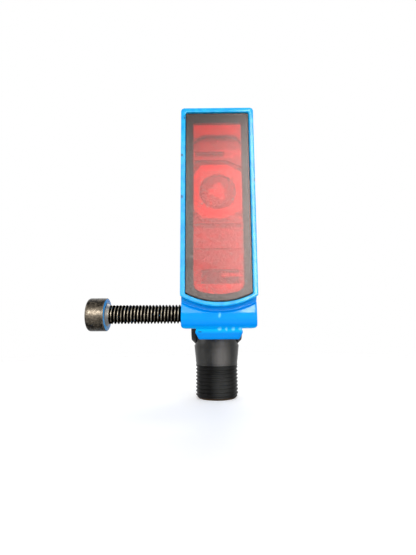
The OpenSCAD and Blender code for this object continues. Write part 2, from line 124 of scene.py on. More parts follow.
def cleanCopy(nodeName):
    source = nodes[nodeName].data
    bm = bmesh.new()
    points = [bm.verts.new(v.co) for v in source.vertices]
    for polygon in source.polygons:
        bm.faces.new([points[i] for i in polygon.vertices])
    bmesh.ops.remove_doubles(bm, verts=bm.verts, dist=0.002 * mm)
    return bm


def finishMesh(bm, name):
    bmesh.ops.recalc_face_normals(bm, faces=bm.faces)
    mesh = bpy.data.meshes.new(name)
    bm.to_mesh(mesh)
    bm.free()
    mesh.shade_smooth()
    return mesh


def spotMask(tree, place, spots):
    total = None
    for x, z, halfWidth, halfHeight in spots:  # mm, seen from the front
        away = addNode(tree, "VectorMath", {"operation": "SUBTRACT", 1: (x * mm, 0, z * mm)}, {0: place})
        stretch = (perMm(halfWidth), 0, perMm(halfHeight))
        scaled = addNode(tree, "VectorMath", {"operation": "MULTIPLY", 1: stretch}, {0: away})
        reach = addNode(tree, "VectorMath", {"operation": "LENGTH"}, {0: scaled}).outputs["Value"]
        full, gone = spotFade
        patch = addNode(tree, "MapRange", {"From Min": full, "From Max": gone, "To Min": 1, "To Max": 0},
                        {"Value": reach})
        total = addNode(tree, "Math", {"operation": "MAXIMUM"}, {0: patch, 1: total}) if total else patch
    return total


def cloudedTint(tree, place, tints, cloudMm, detail):
    cloud = addNode(tree, "TexNoise", {"Scale": perMm(cloudMm), "Detail": detail}, {"Vector": place})
    return cloud, addNode(tree, "ValToRGB", {"stops": list(zip(rampEnds, tints))}, {0: cloud})


def varyGloss(tree, shader, cloud, roughness):
    low, high = roughness
    gloss = addNode(tree, "MapRange", {"To Min": low, "To Max": high}, {"Value": cloud})
    wire(tree, shader, {"Roughness": gloss})


def mouldedGrain(tree, shader, place, grainMm, strength):
    grain = addNode(tree, "TexNoise", {"Scale": perMm(grainMm), "Detail": 2}, {"Vector": place})
    bump = addNode(tree, "Bump", {"Strength": strength, "Distance": 0.03 * mm}, {"Height": grain})
    wire(tree, shader, {"Normal": bump})


def wanderingPlace(tree, place, noise, wobbleMm):  # gives marks uneven outlines
    return addNode(tree, "VectorMath", {"operation": "MULTIPLY_ADD", 1: (wobbleMm * mm,) * 3},
                   {0: noise.outputs["Color"], 2: place})


def softenEdges(bm, width, segments=2, angle=28):
    flat = math.radians(0.5)
    bmesh.ops.dissolve_limit(bm, angle_limit=flat, verts=bm.verts, edges=bm.edges)
    sharp = [e for e in bm.edges if len(e.link_faces) == 2 and e.calc_face_angle(0) > math.radians(angle)]
    bmesh.ops.bevel(bm, geom=sharp, offset=width * mm, segments=segments, profile=0.5, affect="EDGES",
                    clamp_overlap=True)


def keepFlatsFlat(piece):
    modifier = piece.modifiers.new("flats", "WEIGHTED_NORMAL")
    modifier.weight = 80
    modifier.keep_sharp = False


def joinRings(bm, rings, materialIndex=0, closed=True):
    for lower, upper in zip(rings, rings[1:]):
        count = len(lower)
        for i in range(count if closed else count - 1):
            j = (i + 1) % count
            bm.faces.new((lower[i], lower[j], upper[j], upper[i])).material_index = materialIndex


# Camera at the photograph's viewing angle: straight on, a little low, looking slightly up
cameraPlan = {
    "focalPixels": 350,
    "frameHeight": 555,
    "place": (-1.84, -82.6, 1.12),
    "turnDegrees": (9.15, -0.29, 0.374),  # tilt, yaw and roll
}


def makeCamera(plan):
    data = bpy.data.cameras.new("photoCamera")
    data.sensor_width = 36
    data.lens = plan["focalPixels"] / plan["frameHeight"] * data.sensor_width
    data.clip_start = 0.005
    data.clip_end = 20
    camera = bpy.data.objects.new("photoCamera", data)
    scene.collection.objects.link(camera)
    tilt, yaw, roll = [math.radians(degrees) for degrees in plan["turnDegrees"]]
    forward = Vector((math.sin(yaw) * math.cos(tilt), math.cos(yaw) * math.cos(tilt), math.sin(tilt)))
    level = Vector((math.cos(yaw), -math.sin(yaw), 0))
    upright = level.cross(forward)
    right = level * math.cos(roll) - upright * math.sin(roll)
    up = upright * math.cos(roll) + level * math.sin(roll)
    turn = Matrix((right, up, -forward)).transposed()
    camera.matrix_world = Matrix.Translation(Vector(plan["place"]) * mm) @ turn.to_4x4()
    scene.camera = camera


makeCamera(cameraPlan)
print("camera set")


# Stage: pale floor, white surround and soft cards
stagePlan = {
    "floorColours": ("#F4F4F4", "#F8F8F8"),
    "fleckMm": 40,
    "ambient": 0.2,
    "floorLift": 0.34,  # added where the camera sees the floor, so that it is as white as the surround
    "floorSize": 2.0,
    "floorFade": (90, 260),  # mm from the middle, where the floor runs out into the white surround
    "aim": (0, 0, 25),  # mm, the point that every card faces
    "cards": {  # place and size in mm, power in W
        "frontCard": {"place": (5, -420, 130), "size": (160, 280), "power": 0.5},
        "paneEdgeCard": {"place": (56, -410, 160), "size": (34, 270), "power": 0.42},
        "frontRightCard": {"place": (190, -420, 60), "size": (90, 150), "power": 0.5},
        "frontLeftCard": {"place": (-163, -420, 105), "size": (60, 190), "power": 0.42},
        "leftCard": {"place": (-330, -60, 110), "size": (120, 250), "power": 0.3},
        "rightHighCard": {"place": (280, -80, 330), "size": (180, 180), "power": 0.25},
        "rearCard": {"place": (40, 330, 430), "size": (420, 360), "power": 1.2},
    },
}


def makeStage(plan):
    bpy.ops.mesh.primitive_plane_add(size=plan["floorSize"], location=(0, 0, cadLow.z))
    floor = bpy.context.active_object
    floor.name = "paleFloor"
    material, tree, shader, place = startMaterial("palePaperFloor", {"Roughness": 0.9})
    fleck = addNode(tree, "TexNoise", {"Scale": perMm(plan["fleckMm"])}, {"Vector": place})
    tint = addNode(tree, "ValToRGB", {"stops": list(zip(rampEnds, plan["floorColours"]))}, {0: fleck})
    wire(tree, shader, {"Base Color": tint})
    far = addNode(tree, "VectorMath", {"operation": "LENGTH"}, {0: place})
    near, clear = plan["floorFade"]
    fade = addNode(tree, "MapRange",
                   {"From Min": near * mm, "From Max": clear * mm, "interpolation_type": "SMOOTHSTEP"},
                   {"Value": far.outputs["Value"]})
    gone = addNode(tree, "BsdfTransparent")
    lift = addNode(tree, "Emission", {"Color": (1, 1, 1, 1)},
                   {"Strength": addNode(tree, "Math", {"operation": "MULTIPLY", 1: plan["floorLift"]},
                                        {0: addNode(tree, "LightPath").outputs["Is Camera Ray"]})})
    lifted = addNode(tree, "AddShader", None, {0: shader, 1: lift})
    blend = addNode(tree, "MixShader", None, {0: fade, 1: lifted, 2: gone})
    wire(tree, tree.nodes["Material Output"], {"Surface": blend})
    floor.data.materials.append(material)

    world = bpy.data.worlds.new("whiteStudio")
    scene.world = world
    world.use_nodes = True
    tree = world.node_tree
    tree.nodes.clear()
    path = addNode(tree, "LightPath")
    seen = addNode(tree, "Math", {"operation": "MAXIMUM"},
                   {0: path.outputs["Is Camera Ray"], 1: path.outputs["Is Glossy Ray"]})
    seen = addNode(tree, "Math", {"operation": "MAXIMUM"}, {0: seen, 1: path.outputs["Is Transmission Ray"]})
    straight = addNode(tree, "Math", {"operation": "LESS_THAN", 1: 0.5}, {0: path.outputs["Diffuse Depth"]})
    seen = addNode(tree, "Math", {"operation": "MULTIPLY"}, {0: seen, 1: straight})
    strength = addNode(tree, "MapRange", {"To Min": plan["ambient"], "To Max": 1.0}, {"Value": seen})
    glow = addNode(tree, "Background", {"Color": (1, 1, 1, 1)}, {"Strength": strength})
    addNode(tree, "OutputWorld", None, {"Surface": glow})

    aim = Vector(plan["aim"]) * mm
    for name, card in plan["cards"].items():
        light = bpy.data.lights.new(name, "AREA")
        light.shape = "RECTANGLE"
        light.size, light.size_y = [s * mm for s in card["size"]]
        light.energy = card["power"]
        lamp = bpy.data.objects.new(name, light)
        scene.collection.objects.link(lamp)
        lamp.location = Vector(card["place"]) * mm
        lamp.rotation_euler = (aim - lamp.location).to_track_quat("-Z", "Y").to_euler()


makeStage(stagePlan)
print("stage set")


# Azure enamel sprayed on a die casting: even strong blue with a lumpy orange peel that breaks up the
# highlights, and small dark chips where edges were knocked. Painted light and shade in its colour: a paler,
# mottled rim face as painted reflection, darker and lighter bands low on the tab and foot, and pale painted
# glints
enamelPlan = {
    "tints": ("#008EE2", "#009AEE"),
    "shadeHeights": (0, 1.1, 1.75, 2.4, 2.75, 4.6),  # mm, from the rail's foot face up to the foot, where painted shade and light lie
    "shadeTints": ("#0082D8", "#0082D8", "#00A6F2", "#00A6F2", "#0080DC", "#0096E8"),
    "shadeEnd": 0.85,  # share of the last of these heights, from which these painted tints give way
    "rimSheenTints": ("#009AE3", "#1EB2EA"),
    "rimRamp": (0.35, 0.62),  # where they lie on their ramp
    "rimDepth": (0.3, 1.2),  # mm behind the rim's plane, over which the painted reflection tint ends
    "rimSheenMm": 1.7,
    "chipColour": "#1B4E78",
    "cloudMm": 6,
    "peelMm": 1.3,
    "chipMm": 0.7,
    "chipBend": (0.53, 0.58),  # pointiness over which an edge starts to chip
    "chipGrit": (0.60, 0.66),  # noise over which a chip shows
    "wobbleMm": 0.4,  # how far the marks' outlines wander
    "glintColour": "#6CC8F3",
    "paintedHighlights": ((0.3, 2.3, 0.42, 0.4), (1.7, 2.25, 0.26, 0.36), (3.1, 2.3, 0.4, 0.36), (4.5, 2.3, 0.36, 0.34),
             (5.05, 2.15, 0.2, 0.42), (0.3, 5.1, 0.3, 0.55)),  # x, z and half sizes in mm, of painted glints on the tab and the foot
    "glossHeight": (5.3, 5.5),  # mm, below which the foot is rubbed duller
    "coat": (0.02, 0.5),  # clear coat below and above it
    "gloss": (0.24, 0.38),
    "knocks": ((-3.75, 1.75, 0.5, 0.15), (-7.3, 29.5, 0.2, 0.4), (7.9, 33.1, 0.2, 0.4),
               (-7.3, 38.8, 0.2, 0.3)),
    "marksEnd": (4.5, 0.7),  # mm behind the rim, where these marks stop, on the foot and on the rim
    "footTop": 6,  # mm, above which the rim starts
}


def azureEnamel(plan):
    material, tree, shader, place = startMaterial(
        "azureEnamelSprayed", {"IOR": 1.5, "Specular IOR Level": 0.03, "Coat Roughness": 0.08})
    cloud, tint = cloudedTint(tree, place, plan["tints"], plan["cloudMm"], 3)
    bend, sharp = plan["chipBend"]
    edge = addNode(tree, "MapRange", {"From Min": bend, "From Max": sharp},
                   {"Value": addNode(tree, "NewGeometry").outputs["Pointiness"]})
    grit = addNode(tree, "TexNoise", {"Scale": perMm(plan["chipMm"]), "Detail": 2}, {"Vector": place})
    sparse, dense = plan["chipGrit"]
    spots = addNode(tree, "MapRange", {"From Min": sparse, "From Max": dense}, {"Value": grit})
    chips = addNode(tree, "Math", {"operation": "MULTIPLY"}, {0: edge, 1: spots})
    axes = addNode(tree, "SeparateXYZ", None, {0: place})
    dull, bright = [z * mm for z in plan["glossHeight"]]
    thin, thick = plan["coat"]
    coat = addNode(tree, "MapRange", {"From Min": dull, "From Max": bright, "To Min": thin, "To Max": thick},
                   {"Value": axes.outputs[2]})
    wire(tree, shader, {"Coat Weight": coat})
    depth = axes.outputs[1]
    # Painted reflection: the rim's face is paler and mottled near the rim's plane
    near, far = [frontY + d * mm for d in plan["rimDepth"]]
    paintedSheen = addNode(tree, "MapRange", {"From Min": near, "From Max": far, "To Min": 1, "To Max": 0},
                     {"Value": depth})
    blotch = addNode(tree, "TexNoise", {"Scale": perMm(plan["rimSheenMm"]), "Detail": 3}, {"Vector": place})
    rim = addNode(tree, "ValToRGB", {"stops": list(zip(plan["rimRamp"], plan["rimSheenTints"]))}, {0: blotch})
    paint = addNode(tree, "Mix", {"data_type": "RGBA"}, {0: paintedSheen, 6: tint, 7: rim})
    # Painted shade and light by height: darker low on the tab and where the foot curves under, lighter on the
    # tab's upper part
    top = plan["shadeHeights"][-1]
    rise = addNode(tree, "MapRange", {"From Max": top * mm}, {"Value": axes.outputs[2]})
    stops = [(z / top, colour) for z, colour in zip(plan["shadeHeights"], plan["shadeTints"])]
    low = addNode(tree, "ValToRGB", {"stops": stops}, {0: rise})
    under = addNode(tree, "MapRange", {"From Min": plan["shadeEnd"], "To Min": 1, "To Max": 0}, {"Value": rise})
    paint = addNode(tree, "Mix", {"data_type": "RGBA"}, {0: under, 6: paint.outputs[2], 7: low})
    footEnd, rimEnd = [frontY + d * mm for d in plan["marksEnd"]]
    step = addNode(tree, "Math", {"operation": "GREATER_THAN", 1: plan["footTop"] * mm}, {0: axes.outputs[2]})
    end = addNode(tree, "MapRange", {"To Min": footEnd, "To Max": rimEnd}, {"Value": step})
    ahead = addNode(tree, "Math", {"operation": "LESS_THAN"}, {0: depth, 1: end})
    wobble = wanderingPlace(tree, place, grit, plan["wobbleMm"])
    # Painted highlights: pale glints along the tab's top and on the foot
    paintedHighlights = spotMask(tree, wobble, plan["paintedHighlights"])
    paintedHighlights = addNode(tree, "Math", {"operation": "MULTIPLY"}, {0: paintedHighlights, 1: ahead})
    paint = addNode(tree, "Mix", {"data_type": "RGBA", 7: linearColour(plan["glintColour"])},
                    {0: paintedHighlights, 6: paint.outputs[2]})
    knocks = spotMask(tree, wobble, plan["knocks"])
    knocks = addNode(tree, "Math", {"operation": "MULTIPLY"}, {0: knocks, 1: ahead})
    chips = addNode(tree, "Math", {"operation": "MAXIMUM"}, {0: chips, 1: knocks})
    mixed = addNode(tree, "Mix", {"data_type": "RGBA", 7: linearColour(plan["chipColour"])},
                    {0: chips, 6: paint.outputs[2]})
    wire(tree, shader, {"Base Color": mixed.outputs[2]})
    varyGloss(tree, shader, cloud, plan["gloss"])
    peel = addNode(tree, "TexNoise", {"Scale": perMm(plan["peelMm"]), "Detail": 1}, {"Vector": place})
    bump = addNode(tree, "Bump", {"Strength": 0.25, "Distance": 0.06 * mm}, {"Height": peel})
    wire(tree, shader, {"Normal": bump, "Coat Normal": bump})
    return material


# Smoky red acrylic, moulded, rubbed by years of wiping: deep red to look through, a grey haze of soft
# reflection, fine diagonal scratches and pale dust
acrylicPlan = {
    "tints": ("#FA1414", "#FF1C1C"),
    "hazeTint": "#FFE9E2",
    "dustColour": "#D8CEC6",
    "cloudMm": 4,
    "roughness": (0.235, 0.255),  # between and on the scratches
    "scratchDegrees": 48,
    "scratchNoise": (0.35, 0.7),  # between which a scratch shows
    "scratchMm": (3.5, 0.22),  # length and spacing; real scratches are finer, drawn as coarse as shows
    "dustMm": 2.2,
    "dustShare": 0.045,
    "speckEdge": (0.02, 0.05),  # shares of the spacing, between which a speck fades out
    "speckCover": 0.5,
    "filmMm": 0.42,  # grain of the dust film, drawn coarser than it is
    "film": (0.15, 0.03),  # share of the light that the film scatters, low and at the top
    "filmHeights": (34, 47.5),
    "filmGrain": (0.34, 0.66),
    "thinnedShare": 0.3,  # of the film that is left in the thinned patches
    "thinnedFilm": ((-5.6, 15.2, 2.4, 1.1), (-3.0, 14.6, 2.6, 0.8), (-4.7, 31, 1.3, 5), (4.7, 31, 1.3, 5),
              (0, 36.3, 4.6, 1.2), (0, 26, 4.6, 1.2)),  # x, z and half sizes in mm, where the film is thinner
}


def smokyRedAcrylic(plan):
    material, tree, shader, place = startMaterial(
        "smokyRedAcrylicMoulded",
        {"IOR": 1.49, "Transmission Weight": 1.0, "Specular Tint": linearColour(plan["hazeTint"])})
    tint = cloudedTint(tree, place, plan["tints"], plan["cloudMm"], 4)[1]
    slope = math.radians(plan["scratchDegrees"])
    turned = addNode(tree, "Mapping", {"Rotation": (0, slope, 0)}, {"Vector": place})
    length, spacing = plan["scratchMm"]
    streak = addNode(tree, "Mapping", {"Scale": (perMm(length), 1, perMm(spacing))}, {"Vector": turned})
    scratch = addNode(tree, "TexNoise", {"Scale": 1, "Detail": 3, "Roughness": 0.7}, {"Vector": streak})
    smooth, dull = plan["roughness"]
    faint, clear = plan["scratchNoise"]
    rough = addNode(tree, "MapRange",
                    {"From Min": faint, "From Max": clear, "To Min": smooth, "To Max": dull},
                    {"Value": scratch})
    wire(tree, shader, {"Base Color": tint, "Roughness": rough})
    seen = addNode(tree, "SeparateXYZ", None, {0: place})
    flat = addNode(tree, "CombineXYZ", None, {0: seen.outputs[0], 1: seen.outputs[2]})
    cell = addNode(tree, "TexVoronoi", {"voronoi_dimensions": "2D", "Scale": perMm(plan["dustMm"])},
                   {"Vector": flat})
    solid, clear = plan["speckEdge"]
    speck = addNode(tree, "MapRange",
                    {"From Min": solid, "From Max": clear, "To Min": plan["speckCover"], "To Max": 0},
                    {"Value": cell.outputs["Distance"]})
    chosen = addNode(tree, "Math", {"operation": "LESS_THAN", 1: plan["dustShare"]},
                     {0: addNode(tree, "SeparateColor", None, {0: cell.outputs["Color"]}).outputs[2]})
    dust = addNode(tree, "Math", {"operation": "MULTIPLY"}, {0: speck, 1: chosen})
    grain = addNode(tree, "TexNoise", {"Scale": perMm(plan["filmMm"]), "Detail": 2}, {"Vector": place})
    low, high = [z * mm for z in plan["filmHeights"]]
    thick = addNode(tree, "MapRange",
                    {"From Min": low, "From Max": high, "To Min": plan["film"][0], "To Max": plan["film"][1]},
                    {"Value": seen.outputs[2]})
    bare, covered = plan["filmGrain"]
    film = addNode(tree, "MapRange", {"From Min": bare, "From Max": covered},
                   {"Value": grain, "To Max": thick})
    thinnedFilm = addNode(tree, "MapRange", {"To Min": 1, "To Max": plan["thinnedShare"]},
                    {"Value": spotMask(tree, place, plan["thinnedFilm"])})
    film = addNode(tree, "Math", {"operation": "MULTIPLY"}, {0: film, 1: thinnedFilm})
    cover = addNode(tree, "Math", {"operation": "MAXIMUM"}, {0: dust, 1: film})
    powder = addNode(tree, "BsdfDiffuse", {"Color": linearColour(plan["dustColour"])})
    dusty = addNode(tree, "MixShader", None, {0: cover, 1: shader, 2: powder})
    wire(tree, tree.nodes["Material Output"], {"Surface": dusty})
    return material


# Pale polycarbonate, moulded satin: light grey faces, with painted shade on the floors where the moulding is
# recessed, in patches around the lens plate, and painted light and shade in bands by height
carrierPlan = {
    "faces": ("#DDD7D1", "#EAE4DF"),
    "recessShades": ("#FFFFFF", "#DFDBD9", "#98928E", "#98928E"),  # painted shade in the recesses: multiplies the faces, from front to back
    "floorDepths": (0.1, 0.5, 0.95, 1.3),  # mm behind the carrier's face
    "shadeBands": ((8, "#FFFFFF"), (11, "#FFFFFF"), (11.4, "#DADADA"), (14.2, "#DADADA"), (14.6, "#CECECE"),
              (18.3, "#CECECE"), (18.5, "#DEDEDE"), (24, "#D8D8D8"), (38, "#D8D8D8"), (39, "#EAEAEA"),
              (48, "#EAEAEA")),  # height in mm, and what the faces are multiplied by there: painted light and shade by height
    "shaded": ((-1.9, 39.5, 4.2, 0.95), (-1.9, 37.7, 4.2, 0.6), (0, 43.3, 5.6, 0.95), (-4.9, 36.3, 1.3, 1.2),
               (4.9, 36.0, 1.0, 0.9), (-4.8, 25.9, 1.4, 1.1), (4.8, 25.9, 1.4, 1.1),
               (0, 24.6, 6, 0.45)),  # x, z and half sizes in mm, of the patches of painted shade around the lens plate
    "shadeColour": "#CAC5C1",
    "lensBore": ((0, 31.1, 6.5, 6.5),),  # the same, where the recess floors keep the faces' tint, free of painted shade
    "cloudMm": 1.5,
    "gloss": (0.42, 0.55),
    "grainMm": 0.4,
}


def carrierPolycarbonate(plan):
    material, tree, shader, place = startMaterial("palePolycarbonateMoulded", {"IOR": 1.58})
    cloud, tint = cloudedTint(tree, place, plan["faces"], plan["cloudMm"], 4)
    axes = addNode(tree, "SeparateXYZ", None, {0: place})
    # Painted shade: the deeper a face lies behind the carrier's face, the darker it is drawn
    face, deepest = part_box("optics_carrier")[0].y, plan["floorDepths"][-1]
    deep = addNode(tree, "MapRange", {"From Min": face, "From Max": face + deepest * mm},
                   {"Value": axes.outputs[1]})
    stops = [(d / deepest, colour) for d, colour in zip(plan["floorDepths"], plan["recessShades"])]
    shade = addNode(tree, "ValToRGB", {"stops": stops}, {0: deep})
    shade = addNode(tree, "Mix", {"data_type": "RGBA", 7: linearColour("#FFFFFF")},
                    {0: spotMask(tree, place, plan["lensBore"]), 6: shade})
    mixed = addNode(tree, "Mix", {"data_type": "RGBA", "blend_type": "MULTIPLY", 0: 1.0},
                    {6: tint, 7: shade.outputs[2]})
    # Painted light and shade by height
    lowest, highest = plan["shadeBands"][0][0], plan["shadeBands"][-1][0]
    rise = addNode(tree, "MapRange", {"From Min": lowest * mm, "From Max": highest * mm},
                   {"Value": axes.outputs[2]})
    stops = [((z - lowest) / (highest - lowest), colour) for z, colour in plan["shadeBands"]]
    band = addNode(tree, "ValToRGB", {"stops": stops}, {0: rise})
    mixed = addNode(tree, "Mix", {"data_type": "RGBA", "blend_type": "MULTIPLY", 0: 1.0},
                    {6: mixed.outputs[2], 7: band})
    # Painted shade in patches around the lens plate
    darker = linearColour(plan["shadeColour"])
    mixed = addNode(tree, "Mix", {"data_type": "RGBA", "blend_type": "MULTIPLY", 7: darker},
                    {0: spotMask(tree, place, plan["shaded"]), 6: mixed.outputs[2]})
    wire(tree, shader, {"Base Color": mixed.outputs[2]})
    varyGloss(tree, shader, cloud, plan["gloss"])
    mouldedGrain(tree, shader, place, plan["grainMm"], 0.3)
    return material


# Acrylic lens, moulded, frosted behind: a grey ring, with a painted glow in its middle standing for the lamp's
# light showing through
lensPlan = {
    "ring": ("#ADA4A0", "#B9B0AC"),
    "glow": "#EEE7E3",
    "lit": ((0.3, 0.35, 1.9, 1.5), (0.4, 1.45, 1.4, 1.3), (1.1, -0.85, 0.8, 0.8), (-0.7, 0.5, 1.3, 1.2),
            (-1.15, -2.1, 0.45, 0.45)),  # patches of painted glow, from the lens's middle: x, z and half sizes in mm
    "litEdge": (0.35, 0.75),  # how sharply the patches end
    "cloudMm": 1.1,
    "wobbleMm": 0.7,
    "gloss": (0.2, 0.32),
    "grow": 1.022,  # widened to meet its plate
}


def mouldedLens(plan):
    low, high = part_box("lens")
    middle = (low + high) / 2
    material, tree, shader, place = startMaterial(
        "acrylicLensMoulded", {"IOR": 1.49, "Coat Weight": 0.6, "Coat Roughness": 0.04})
    cloud, tint = cloudedTint(tree, place, plan["ring"], plan["cloudMm"], 3)
    wobble = wanderingPlace(tree, place, cloud, plan["wobbleMm"])
    patches = [(middle.x / mm + x, middle.z / mm + z, w, h) for x, z, w, h in plan["lit"]]
    outside, inside = plan["litEdge"]
    lit = addNode(tree, "MapRange", {"From Min": outside, "From Max": inside},
                  {"Value": spotMask(tree, wobble, patches)})
    mixed = addNode(tree, "Mix", {"data_type": "RGBA", 7: linearColour(plan["glow"])}, {0: lit, 6: tint})
    wire(tree, shader, {"Base Color": mixed.outputs[2]})
    varyGloss(tree, shader, cloud, plan["gloss"])
    return material


# Plain moulded, plated and coated finishes
finishPlans = {
    "nitrileRubberMoulded": {  # matt, almost no highlight
        "tints": ("#453D39", "#554B46"), "rough": (0.6, 0.75), "cloudMm": 0.8, "grainMm": 0.2},
    "sealantBlackGapShade": {  # smooth bead, dark with a thin gleam, black also where it stands in for the shadow in the gap beside the pane
        "tints": ("#0A0A0B", "#141415"), "rough": (0.35, 0.5), "cloudMm": 0.6, "grainMm": 0.3},
    "whitePolycarbonateMoulded": {  # bright satin plate
        "tints": ("#F4F2EF", "#FAF8F6"), "rough": (0.35, 0.45), "cloudMm": 1.5, "grainMm": 0.4},
    "beamGlassCoated": {  # thin clear plate
        "tints": ("#E8F0F0", "#F4FAFA"), "rough": (0.02, 0.05), "cloudMm": 2,
        "constants": {"Transmission Weight": 0.9}},
    "redLampEpoxy": {  # clear red lamp body
        "tints": ("#B81818", "#D02424"), "rough": (0.1, 0.2), "cloudMm": 1,
        "constants": {"IOR": 1.55}},
    "blackPolyamideMoulded": {  # charcoal satin with a fine moulded grain
        "tints": ("#121212", "#1F1F1E"), "rough": (0.42, 0.58), "cloudMm": 0.9, "grainMm": 0.25,
        "constants": {"Specular IOR Level": 0.15}},
    "zincPlatedSteel": {  # cool bright metal, slightly blotchy
        "tints": ("#B9BABB", "#D0D1D2"), "rough": (0.25, 0.38), "cloudMm": 0.7, "grainMm": 0.2,
        "constants": {"Metallic": 1.0}},
    "solderMaskGreen": {  # glossy green lacquer
        "tints": ("#0E4A2A", "#136036"), "rough": (0.3, 0.4), "cloudMm": 1.2, "grainMm": 0.5},
    "mouldedEpoxyBlack": {  # matt chip body
        "tints": ("#19191B", "#232326"), "rough": (0.5, 0.6), "cloudMm": 0.4, "grainMm": 0.15},
    "tinnedSteelSheet": {  # pale soft metal
        "tints": ("#BDBDBB", "#D2D2D0"), "rough": (0.3, 0.4), "cloudMm": 0.8, "grainMm": 0.3,
        "constants": {"Metallic": 1.0}},
    "shrunkSleeveNavy": {  # smooth shrunk film
        "tints": ("#20273F", "#2B3350"), "rough": (0.35, 0.45), "cloudMm": 1},
    "trimmerCaseBlue": {  # glossy moulded case
        "tints": ("#2449A8", "#2F59BE"), "rough": (0.35, 0.45), "cloudMm": 1, "grainMm": 0.3},
    "whiteAcetalTurned": {  # waxy white
        "tints": ("#E2DFD6", "#EEECE4"), "rough": (0.35, 0.5), "cloudMm": 0.9, "grainMm": 0.2},
    "greenPolycarbonateMoulded": {  # clear green light pipe
        "tints": ("#58C46A", "#74D884"), "rough": (0.12, 0.2), "cloudMm": 1.2},
    "amberPolycarbonateMoulded": {  # clear amber light pipe
        "tints": ("#E8AE32", "#F5C24A"), "rough": (0.12, 0.2), "cloudMm": 1.2},
    "goldPlatedBrass": {  # warm bright contacts
        "tints": ("#D8AE55", "#E8C574"), "rough": (0.2, 0.3), "cloudMm": 0.5, "grainMm": 0.2,
        "constants": {"Metallic": 1.0}},
    "wireInsulationPvc": {  # soft brown sleeve
        "tints": ("#5A3214", "#6E4220"), "rough": (0.45, 0.55), "cloudMm": 0.8},
}


def plainFinish(name, plan):
    material, tree, shader, place = startMaterial(name, plan.get("constants", {}))
    cloud, tint = cloudedTint(tree, place, plan["tints"], plan["cloudMm"], 4)
    wire(tree, shader, {"Base Color": tint})
    varyGloss(tree, shader, cloud, plan["rough"])
    if "grainMm" in plan:
        mouldedGrain(tree, shader, place, plan["grainMm"], 0.2)
    return material


enamel = azureEnamel(enamelPlan)
redAcrylic = smokyRedAcrylic(acrylicPlan)
carrierPlastic = carrierPolycarbonate(carrierPlan)
lensAcrylic = mouldedLens(lensPlan)
finishes = {name: plainFinish(name, plan) for name, plan in finishPlans.items()}
blackPolyamide = finishes["blackPolyamideMoulded"]

finishNodes = {  # the solids that show as they are, by finish
    "nitrileRubberMoulded": ("screen_seal", "shaft_seals", "rear_gasket"),
    "whitePolycarbonateMoulded": ("lens_plate",),
    "mouldedEpoxyBlack": ("lens_retainer", "receiver_diode", "board_link", "processor_chip", "mode_switch"),
    "beamGlassCoated": ("beam_splitter",),
    "redLampEpoxy": ("emitter_led",),
    "solderMaskGreen": ("optics_board", "main_board", "control_board"),
    "tinnedSteelSheet": ("shield_can",),
    "shrunkSleeveNavy": ("capacitors",),
    "trimmerCaseBlue": ("sensitivity_trimmer",),
    "whiteAcetalTurned": ("indicator_leds", "lead_header"),
    "zincPlatedSteel": ("yoke_screws",),
    "goldPlatedBrass": ("contact_pins",),
    "wireInsulationPvc": ("connector_leads",),
}
nodeMaterials = {nodeName: finishes[name] for name, group in finishNodes.items() for nodeName in group}
nodeMaterials["optics_carrier"] = carrierPlastic
for nodeName, material in nodeMaterials.items():
    data = nodes[nodeName].data
    data.materials.clear()
    data.materials.append(material)
print("materials made:", len(finishes) + 4)


# Housing: the casting's own solid, with every edge and corner softened as paint over a casting is
housingPlan = {"voxel": 0.15, "rounds": 4, "keep": 0.08}


def makeHousing(plan):
    mesh = nodes["housing"].data.copy()
    piece = newPiece("housing_casting", mesh, [enamel], "sensor", ["housing"])
    remesh = piece.modifiers.new("skin", "REMESH")
    remesh.mode = "VOXEL"
    remesh.voxel_size = plan["voxel"] * mm
    smooth = piece.modifiers.new("soften", "SMOOTH")
    smooth.factor = 0.5
    smooth.iterations = plan["rounds"]
    thin = piece.modifiers.new("thin", "DECIMATE")
    thin.ratio = plan["keep"]
    bpy.context.view_layer.update()
    done = bpy.data.meshes.new_from_object(piece.evaluated_get(bpy.context.evaluated_depsgraph_get()))
    piece.modifiers.clear()
    piece.data = done
    done.shade_smooth()
    keepFlatsFlat(piece)
    print("housing faces:", len(done.polygons))


makeHousing(housingPlan)


# Small mouldings and turned parts: each solid with its edges broken as a mould or a lathe leaves them
softPlans = {  # node: piece, finish, slot, body, edge width in mm
    "rear_cover": ("rear_cover_shell", enamel, "blue_paint", "sensor", 0.3),
    "connector_yoke": ("connector_fork", blackPolyamide, "black_plastic", "sensor", 0.25),
    "control_panel": ("control_panel_plate", blackPolyamide, "black_plastic", "sensor", 0.12),
    "sensitivity_knob": ("sensitivity_dial", finishes["whiteAcetalTurned"], "white_plastic", "knob", 0.12),
    "mode_selector": ("mode_dial", finishes["whiteAcetalTurned"], "white_plastic", "selector", 0.12),
    "power_light_pipe": ("power_light", finishes["greenPolycarbonateMoulded"], "green_light", "sensor", 0.3),
    "output_light_pipe": ("output_light", finishes["amberPolycarbonateMoulded"], "amber_light", "sensor", 0.3),
    "rear_cover_screws": ("cover_screws", finishes["zincPlatedSteel"], "bright_steel", "sensor", 0.08),
    "swivel_pin": ("fork_pin", finishes["zincPlatedSteel"], "bright_steel", "sensor", 0.2),
    "contact_insert": ("contact_carrier", blackPolyamide, "black_plastic", "connector", 0.1),
    "lens": ("front_lens", lensAcrylic, "clear_lens", "sensor", 0.1),
}


def makeSoftPieces(plans):
    for nodeName, (pieceName, material, slotName, body, width) in plans.items():
        bm = cleanCopy(nodeName)
        if nodeName == "lens":
            low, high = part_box(nodeName)
            spread = Matrix.Diagonal((lensPlan["grow"], 1, lensPlan["grow"]))
            bmesh.ops.transform(bm, matrix=spread.to_4x4(), verts=bm.verts,
                                space=Matrix.Translation(-(low + high) / 2))
        softenEdges(bm, width)
        piece = newPiece(pieceName, finishMesh(bm, pieceName), [material], body, [nodeName])
        keepFlatsFlat(piece)


